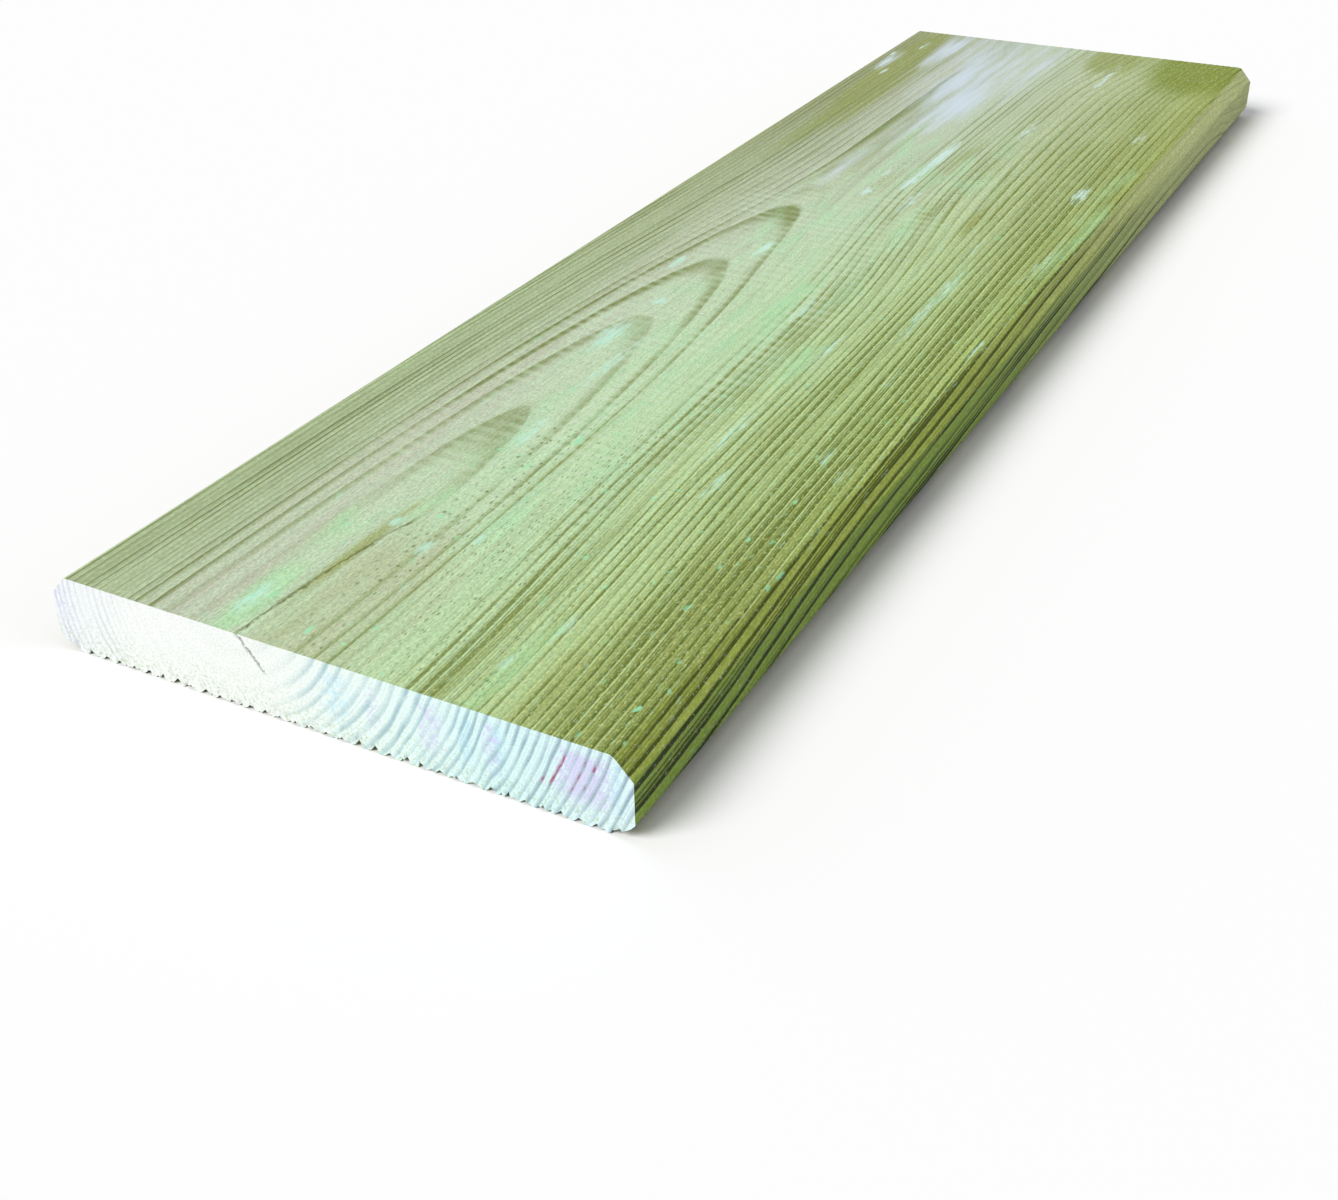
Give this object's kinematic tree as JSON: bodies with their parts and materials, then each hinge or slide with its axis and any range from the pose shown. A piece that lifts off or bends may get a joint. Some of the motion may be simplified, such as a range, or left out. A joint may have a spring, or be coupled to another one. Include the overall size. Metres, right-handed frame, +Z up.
{
  "type": "deck board",
  "caption": "Cut length of softwood decking board with a smooth chamfered face, square sides, square cut ends and a finely ribbed back.",
  "frame": {"origin": "under the middle of the board, level with the crests of the ribs that it lies on", "axes": "+X along the length, +Y across the width, +Z up out of the smooth face"},
  "size_m": [0.5, 0.145, 0.019],
  "materials": {
    "treated_softwood": "planed, matt"
  },
  "bodies": {
    "root": {"deck_board": "treated_softwood"}
  },
  "joints": []
}
